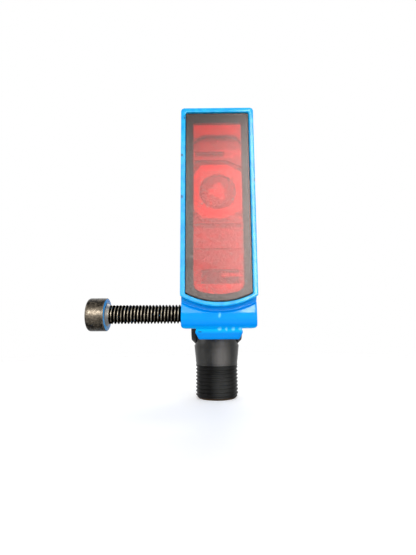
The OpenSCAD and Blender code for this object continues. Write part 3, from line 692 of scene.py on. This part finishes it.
makeSoftPieces(softPlans)
print("soft pieces made:", len(softPlans))


# Red pane, and the black bead that seals it into the rim and stands in for the shadow in the gap there
screenPlan = {
    "arcCentre": 21.6,  # height of the centre of the rim's lower curve
    "corner": 0.3,
    "gap": 0.04,  # left at the pane's sides and top, and filled by the bead
    "lowGap": 4,  # times as much below
    "edge": 0.04,
    "beadSet": 0.1,  # the bead's face lies this far behind the pane's
    "beadFall": (0.06, 0.04),  # and falls back this much more beside the rim and the pane
}


def windowOutline(half, top, arcRadius, arcCentre, corner):
    cornerSteps, arcSteps = 6, 48
    points = []
    for middle, start in ((half - corner, 0), (corner - half, 90)):
        for step in range(cornerSteps + 1):
            angle = math.radians(start + 90 * step / cornerSteps)
            points.append((middle + corner * math.cos(angle), top - corner + corner * math.sin(angle)))
    spread = math.asin(half / arcRadius)
    for step in range(arcSteps + 1):
        angle = math.radians(270) + spread * (2 * step / arcSteps - 1)
        points.append((arcRadius * math.cos(angle), arcCentre + arcRadius * math.sin(angle)))
    return points


def makeScreen(plan):
    low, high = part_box("front_screen")
    half, top, bottom = high.x / mm, high.z / mm, low.z / mm
    face, back = (low.y - frontY) / mm, (high.y - frontY) / mm

    def ring(bm, inset, depth):
        arcRadius = plan["arcCentre"] - bottom - inset * plan["lowGap"]
        outline = windowOutline(half - inset, top - inset, arcRadius, plan["arcCentre"], plan["corner"])
        return [bm.verts.new((x * mm, frontY + depth * mm, z * mm)) for x, z in outline]

    bm = bmesh.new()
    gap, edge = plan["gap"], plan["edge"]
    bow = edge * 0.3  # middle of the rounded edge
    rings = [ring(bm, gap + edge, face), ring(bm, gap + bow, face + bow),
             ring(bm, gap, face + edge), ring(bm, gap, back)]
    joinRings(bm, rings)
    bm.faces.new(rings[0])
    bm.faces.new(rings[-1])
    pane = newPiece("red_screen_pane", finishMesh(bm, "red_screen_pane"), [redAcrylic], "sensor",
                    ["front_screen"])
    keepFlatsFlat(pane)

    # The bead: black sealant, which also stands in for the shadow in the gap between pane and rim
    bm = bmesh.new()
    front = face + plan["beadSet"]
    rimFall, paneFall = plan["beadFall"]
    section = ((0, front + rimFall), (gap * 0.5, front), (gap, front + paneFall), (gap, back), (0, back))
    rings = [ring(bm, inset, depth) for inset, depth in section]
    joinRings(bm, rings + rings[:1])
    newPiece("screen_bead_and_gap_shade", finishMesh(bm, "screen_bead_and_gap_shade"), [finishes["sealantBlackGapShade"]], "sensor", ())


makeScreen(screenPlan)
print("screen made")


# Turned parts: rings about an axis, and threads whose rows climb the helix
threadShape = {"crest": 0.15, "slope": 0.65}  # shares of half a pitch; the rest is the flat root


def turnedPoint(bm, axes, height, radius, angle):
    origin, along, across, upward = axes
    place = along * height + across * (radius * math.cos(angle)) + upward * (radius * math.sin(angle))
    return bm.verts.new(origin + place * mm)


def turnedRing(bm, axes, profilePoint, steps):
    height, radius = profilePoint
    ring = []
    for i in range(steps):
        angle = 2 * math.pi * i / steps
        spoke = radius(angle) if callable(radius) else radius
        ring.append(turnedPoint(bm, axes, height, spoke, angle))
    return ring


def turnProfile(bm, axes, profile, steps, materialIndex):
    joinRings(bm, [turnedRing(bm, axes, point, steps) for point in profile], materialIndex)


def cutThread(bm, axes, plan, low, high, steps, materialIndex):
    pitch, rows = plan["pitch"], plan["rows"]
    count = math.ceil((high - low + pitch) / pitch * rows) + 1
    columns = []
    for i in range(steps + 1):
        angle = 2 * math.pi * i / steps
        column = []
        for j in range(count):
            height = min(max(low - pitch + pitch * (j / rows + i / steps), low), high)
            flank = abs(j % rows / rows - 0.5) * 2  # 0 on the crest, 1 in the root
            cut = plan["depth"] * min(max((flank - threadShape["crest"]) / threadShape["slope"], 0), 1)
            fade = min((high - height) / plan["runOut"], 1)
            radius = plan["radius"] - max(cut * fade, plan["chamfer"] - (height - low))
            column.append(turnedPoint(bm, axes, height, radius, angle))
        columns.append(column)
    joinRings(bm, columns, materialIndex, closed=False)


def finishTurned(bm, name):
    weld = 0.0005 * mm
    bmesh.ops.remove_doubles(bm, verts=bm.verts, dist=weld)
    bmesh.ops.dissolve_degenerate(bm, dist=weld, edges=bm.edges)
    return finishMesh(bm, name)


# Black-oxide steel. Forged head: dark bronze grey in blotches, with a painted highlight: brighter along its
# middle and one edge, darker above and below. Rolled thread: nearly black flanks under bare tan crests, which
# show only in a band along the middle, as painted highlight. Clamped face: bare steel, with a blue ring in
# patches on it.
screwPlan = {
    "length": 25,
    "headEdge": 0.5,
    "edgeSteps": 6,
    "underEdge": 0.12,
    "neck": 0.6,
    "neckRadius": 2.35,
    "filletSteps": 5,
    "hexAcross": 3.0,
    "hexDepth": 2.0,
    "hexTip": 0.5,  # mm, how much deeper the drilled middle is
    "hexMouth": (0.12, 1.2),  # depth in mm of the flared mouth, and its width in times the half width
    "steps": 72,
    "thread": {"radius": 2.0, "depth": 0.42, "pitch": 0.7, "rows": 10, "chamfer": 0.5, "runOut": 0.5},
    "oxide": ("#1A1814", "#7E7466"),
    "blotchMm": 0.6,
    "headHighlight": ((-25.6, 5.2, 2.6, 2.0), (-23.66, 5.2, 0.3, 2.9)),  # x, z and half sizes in mm, of the painted highlight along the head's middle and its edge
    "headShift": (-0.16, 0.12),  # darker away from these places, brighter where they are, as painted highlight
    "headGloss": (0.36, 0.24),  # roughness of dark and bright blotches
    "pitMm": 0.35,
    "crest": "#C2B6A0",
    "crestDepth": (0.14, 0.02),  # mm under the thread's outside, where bare metal starts and is full
    "wearMm": 0.8,
    "wearNoise": (0.35, 0.6),
    "wearLeast": 0.25,
    # band where the bare crests show, as painted highlight; above and below the crests stay dark
    "threadHighlightBand": ((-12, 5.5, 40, 1.7),),
    "threadGloss": (0.3, 0.48),
    "flank": "#060505",
    "edgeTint": "#3A3836",  # keeps the thread's outline dark against the white ground
    "bareSteel": "#84827E",
    "blueMarkTint": "#3F92CC",
    "blueRing": (2.55, 3.42),  # mm from the axis
    "ringFade": (0.15, 0.1),  # mm, over which the ring ends inwards and outwards
    "gritMm": 0.5,
    "gritNoise": (0.3, 0.42),
    "gritLeast": 0.3,
    "faceGloss": (0.3, 0.45),
    "fleckMm": 0.9,
    "fleckShare": 0.1,  # radius of a blue fleck, as a share of their spacing
}


def screwAxis():
    low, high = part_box("mounting_screw")
    return Vector((low.x, (low.y + high.y) / 2, (low.z + high.z) / 2)), high.x, (high.z - low.z) / 2 / mm


def reachFromScrewAxis(tree, place):
    away = addNode(tree, "VectorMath", {"operation": "SUBTRACT", 1: screwAxis()[0]}, {0: place})
    flat = addNode(tree, "VectorMath", {"operation": "MULTIPLY", 1: (0, 1, 1)}, {0: away})
    return addNode(tree, "VectorMath", {"operation": "LENGTH"}, {0: flat}).outputs["Value"]


def oxideHead(plan):
    material, tree, shader, place = startMaterial("blackOxideSteelForged", {"Metallic": 1.0})
    blotch = addNode(tree, "TexNoise", {"Scale": perMm(plan["blotchMm"]), "Detail": 6, "Roughness": 0.7},
                     {"Vector": place})
    away, near = plan["headShift"]
    headSheen = addNode(tree, "MapRange", {"To Min": away, "To Max": near},
                      {"Value": spotMask(tree, place, plan["headHighlight"])})
    worn = addNode(tree, "Math", {"operation": "ADD"}, {0: blotch, 1: headSheen})
    tint = addNode(tree, "ValToRGB", {"stops": list(zip(rampEnds, plan["oxide"]))}, {0: worn})
    wire(tree, shader, {"Base Color": tint})
    low, high = rampEnds
    dull, bright = plan["headGloss"]
    gloss = addNode(tree, "MapRange", {"From Min": low, "From Max": high, "To Min": dull, "To Max": bright},
                    {"Value": blotch})
    wire(tree, shader, {"Roughness": gloss})
    pits = addNode(tree, "TexNoise", {"Scale": perMm(plan["pitMm"]), "Detail": 3}, {"Vector": place})
    bump = addNode(tree, "Bump", {"Strength": 0.5, "Distance": 0.03 * mm}, {"Height": pits})
    wire(tree, shader, {"Normal": bump})
    return material


def oxideThread(plan):
    material, tree, shader, place = startMaterial(
        "blackOxideSteelRolled", {"Metallic": 1.0, "Specular Tint": linearColour(plan["edgeTint"])})
    reach = reachFromScrewAxis(tree, place)
    start, full = [(plan["thread"]["radius"] - d) * mm for d in plan["crestDepth"]]
    crest = addNode(tree, "MapRange", {"From Min": start, "From Max": full}, {"Value": reach})
    patch = addNode(tree, "TexNoise", {"Scale": perMm(plan["wearMm"]), "Detail": 4}, {"Vector": place})
    low, high = plan["wearNoise"]
    worn = addNode(tree, "MapRange", {"From Min": low, "From Max": high, "To Min": plan["wearLeast"]},
                   {"Value": patch})
    bare = addNode(tree, "Math", {"operation": "MULTIPLY"}, {0: crest, 1: worn})
    # Painted highlight: bare crests only in the band along the middle
    bare = addNode(tree, "Math", {"operation": "MULTIPLY"},
                   {0: bare, 1: spotMask(tree, place, plan["threadHighlightBand"])})
    tint = addNode(tree, "ValToRGB", {"stops": [(0.0, plan["flank"]), (1.0, plan["crest"])]}, {0: bare})
    cell = addNode(tree, "TexVoronoi", {"Scale": perMm(plan["fleckMm"])}, {"Vector": place})
    fleck = addNode(tree, "Math", {"operation": "LESS_THAN", 1: plan["fleckShare"]},
                    {0: cell.outputs["Distance"]})
    mixed = addNode(tree, "Mix", {"data_type": "RGBA", 7: linearColour(plan["blueMarkTint"])},
                    {0: fleck, 6: tint})
    wire(tree, shader, {"Base Color": mixed.outputs[2]})
    varyGloss(tree, shader, patch, plan["threadGloss"])
    return material


def clampedFace(plan):
    material, tree, shader, place = startMaterial("bareSteelBlueRing", {})
    reach = reachFromScrewAxis(tree, place)
    inner, outer = plan["blueRing"]
    inward, outward = plan["ringFade"]
    rise = addNode(tree, "MapRange", {"From Min": (inner - inward) * mm, "From Max": inner * mm},
                   {"Value": reach})
    fall = addNode(tree, "MapRange",
                   {"From Min": outer * mm, "From Max": (outer + outward) * mm, "To Min": 1, "To Max": 0},
                   {"Value": reach})
    ring = addNode(tree, "Math", {"operation": "MULTIPLY"}, {0: rise, 1: fall})
    grit = addNode(tree, "TexNoise", {"Scale": perMm(plan["gritMm"]), "Detail": 4}, {"Vector": place})
    low, high = plan["gritNoise"]
    patch = addNode(tree, "MapRange", {"From Min": low, "From Max": high, "To Min": plan["gritLeast"]},
                    {"Value": grit})
    # Where the blue tint shows: over the ring, in patches
    paint = addNode(tree, "Math", {"operation": "MULTIPLY"}, {0: ring, 1: patch})
    tint = addNode(tree, "ValToRGB", {"stops": [(0.0, plan["bareSteel"]), (1.0, plan["blueMarkTint"])]},
                   {0: paint})
    wire(tree, shader, {"Base Color": tint})
    metal = addNode(tree, "MapRange", {"To Min": 1, "To Max": 0}, {"Value": paint})
    wire(tree, shader, {"Metallic": metal})
    varyGloss(tree, shader, grit, plan["faceGloss"])
    return material


def makeScrew(plan):
    origin, tip, headRadius = screwAxis()
    headHeight = (tip - origin.x) / mm - plan["length"]
    steps = plan["steps"]
    fromHead = (origin, Vector((1, 0, 0)), Vector((0, 1, 0)), Vector((0, 0, 1)))
    fromTip = (Vector((tip, origin.y, origin.z)), Vector((-1, 0, 0)), Vector((0, 1, 0)), Vector((0, 0, 1)))
    hexFlat = plan["hexAcross"] / 2

    def hexRadius(angle):
        return hexFlat / math.cos(angle % (math.pi / 3) - math.pi / 6)

    bm = bmesh.new()
    mouth, flare = plan["hexMouth"]
    edge, under = plan["headEdge"], plan["underEdge"]
    head = [(plan["hexDepth"] + plan["hexTip"], 0), (plan["hexDepth"], hexRadius), (mouth, hexRadius),
            (0, hexFlat * flare)]
    for step in range(plan["edgeSteps"] + 1):  # rounded outer edge
        angle = math.radians(90 * step / plan["edgeSteps"])
        head.append((edge * (1 - math.cos(angle)), headRadius - edge * (1 - math.sin(angle))))
    head += [(headHeight - under, headRadius), (headHeight, headRadius - under)]
    turnProfile(bm, fromHead, head, steps, 0)
    neck = [(headHeight, headRadius - under), (headHeight, plan["neckRadius"])]
    threadTop = plan["thread"]["radius"]
    swell = plan["neckRadius"] - threadTop
    for step in range(1, plan["filletSteps"] + 1):  # fillet under the head
        angle = math.radians(90 * step / plan["filletSteps"])
        neck.append((headHeight + plan["neck"] * math.sin(angle),
                     threadTop + swell * (1 - math.sin(angle))))
    turnProfile(bm, fromHead, neck, steps, 1)
    cutThread(bm, fromTip, plan["thread"], 0, plan["length"] - plan["neck"], steps, 2)
    turnProfile(bm, fromTip, [(0, 0), (0, threadTop - plan["thread"]["chamfer"])], steps, 2)
    piece = newPiece("cap_screw", finishTurned(bm, "cap_screw"),
                     [oxideHead(plan), clampedFace(plan), oxideThread(plan)],
                     "screw", ["mounting_screw"])
    keepFlatsFlat(piece)


makeScrew(screwPlan)
print("screw made")


# Connector: neck, thread and socket turned about one axis, and the hub that the pin runs through
connectorPlan = {
    "neckLow": -7.5,
    "neckRadius": 5.9,
    "leadWay": 3.2,
    "socketRadius": 4.8,
    "socketFloor": -8.6,
    "socketEdge": 0.15,
    "threadLand": 0.1,  # mm, plain band under the neck
    "neckStep": 0.12,  # mm, height of the slope onto the neck
    "hubCut": 0.05,  # mm above the neck's low end, where the hub starts
    "hubEdge": 0.15,
    "hubHalf": (5.3, 5.5),  # mm, the solid's half width at the hub and the one shown, close to the fork
    "hubMatch": 0.003,  # mm, within which a point lies on the hub's side
    "steps": 96,
    "thread": {"radius": 6.0, "depth": 0.32, "pitch": 1.0, "rows": 12, "chamfer": 0.8, "runOut": 0.6},
    "neckFinish": {"tints": ("#201F1D", "#2C2B28"), "highlightTint": "#65615C", "specular": 0.3, "worn": 0},
    "threadFinish": {"tints": ("#0E0E0D", "#181716"), "highlightTint": "#343432", "specular": 0.08, "worn": 0.8},
    "paintedHighlights": ((1.5, -4.8, 2.4, 6.5), (1.5, -12.5, 2.6, 5)),  # x, z and half sizes in mm, of painted highlights down the neck and the thread
    "wornTint": "#5A4228",
    "wornEnd": (0.1, 0.6),  # mm above the open end, over which the worn tint gives way
    "gloss": (0.34, 0.44),
    "cloudMm": 1.4,
    "wobbleMm": 0.5,
    "grainMm": 0.25,
}


# Glass-filled polyamide, moulded: charcoal satin neck, blacker thread, slightly brown where the end is worn,
# and painted highlights as paler streaks down the neck and the thread
def connectorPolyamide(plan, name, finish):
    material, tree, shader, place = startMaterial(
        name, {"IOR": 1.53, "Specular IOR Level": finish["specular"], "Anisotropic": 0.6,
               "Anisotropic Rotation": 0.25})
    around = addNode(tree, "Tangent", {"direction_type": "RADIAL", "axis": "Z"})
    wire(tree, shader, {"Tangent": around})
    cloud, tint = cloudedTint(tree, place, finish["tints"], plan["cloudMm"], 5)
    height = addNode(tree, "SeparateXYZ", None, {0: place}).outputs[2]
    low, high = [cadLow.z + z * mm for z in plan["wornEnd"]]
    end = addNode(tree, "MapRange",
                  {"From Min": low, "From Max": high, "To Min": finish["worn"], "To Max": 0},
                  {"Value": height})
    wobble = wanderingPlace(tree, place, cloud, plan["wobbleMm"])
    # Painted highlights: paler streaks down the neck and the thread
    paintedSheen = addNode(tree, "Mix", {"data_type": "RGBA", 7: linearColour(finish["highlightTint"])},
                     {0: spotMask(tree, wobble, plan["paintedHighlights"]), 6: tint})
    mixed = addNode(tree, "Mix", {"data_type": "RGBA", 7: linearColour(plan["wornTint"])},
                    {0: end, 6: paintedSheen.outputs[2]})
    wire(tree, shader, {"Base Color": mixed.outputs[2]})
    varyGloss(tree, shader, cloud, plan["gloss"])
    mouldedGrain(tree, shader, place, plan["grainMm"], 0.2)
    return material


def makeConnector(plan):
    low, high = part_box("connector_body")
    axisY = (low.y + high.y) / 2
    end = low.z / mm
    steps = plan["steps"]
    axes = (Vector((0, axisY, 0)), Vector((0, 0, 1)), Vector((1, 0, 0)), Vector((0, 1, 0)))
    neckSatin = connectorPolyamide(plan, "blackPolyamideSatin", plan["neckFinish"])
    threadDark = connectorPolyamide(plan, "blackPolyamideThread", plan["threadFinish"])

    bm = bmesh.new()
    thread = plan["thread"]
    bottom, lead = plan["neckLow"], plan["leadWay"]
    land, neckStart = bottom - plan["threadLand"], bottom + plan["neckStep"]
    cutThread(bm, axes, thread, end, land, steps, 1)
    outer = [(land, thread["radius"]), (bottom, thread["radius"]), (neckStart, plan["neckRadius"]),
             (neckStart, lead), (plan["socketFloor"], lead)]
    turnProfile(bm, axes, outer, steps, 0)
    floor, socket, edge = plan["socketFloor"], plan["socketRadius"], plan["socketEdge"]
    inner = [(floor, lead), (floor, socket), (end + edge, socket), (end, socket + edge),
             (end, thread["radius"] - thread["chamfer"])]
    turnProfile(bm, axes, inner, steps, 1)
    shell = newPiece("connector_shell", finishTurned(bm, "connector_shell"), [neckSatin, threadDark],
                     "connector", ["connector_body"])
    keepFlatsFlat(shell)

    bm = cleanCopy("connector_body")
    cutHeight = (bottom + plan["hubCut"]) * mm
    cut = bmesh.ops.bisect_plane(bm, geom=list(bm.verts) + list(bm.edges) + list(bm.faces),
                                 plane_co=(0, 0, cutHeight), plane_no=(0, 0, 1), clear_inner=True)
    rim = [e for e in cut["geom_cut"] if isinstance(e, bmesh.types.BMEdge)]
    bmesh.ops.triangle_fill(bm, edges=rim, use_beauty=True)
    solid, shown = plan["hubHalf"]
    for vert in bm.verts:
        if abs(abs(vert.co.x) / mm - solid) < plan["hubMatch"]:
            vert.co.x = math.copysign(shown * mm, vert.co.x)
    softenEdges(bm, plan["hubEdge"])
    newPiece("connector_hub", finishMesh(bm, "connector_hub"), [neckSatin], "connector", ())


makeConnector(connectorPlan)
print("connector made")
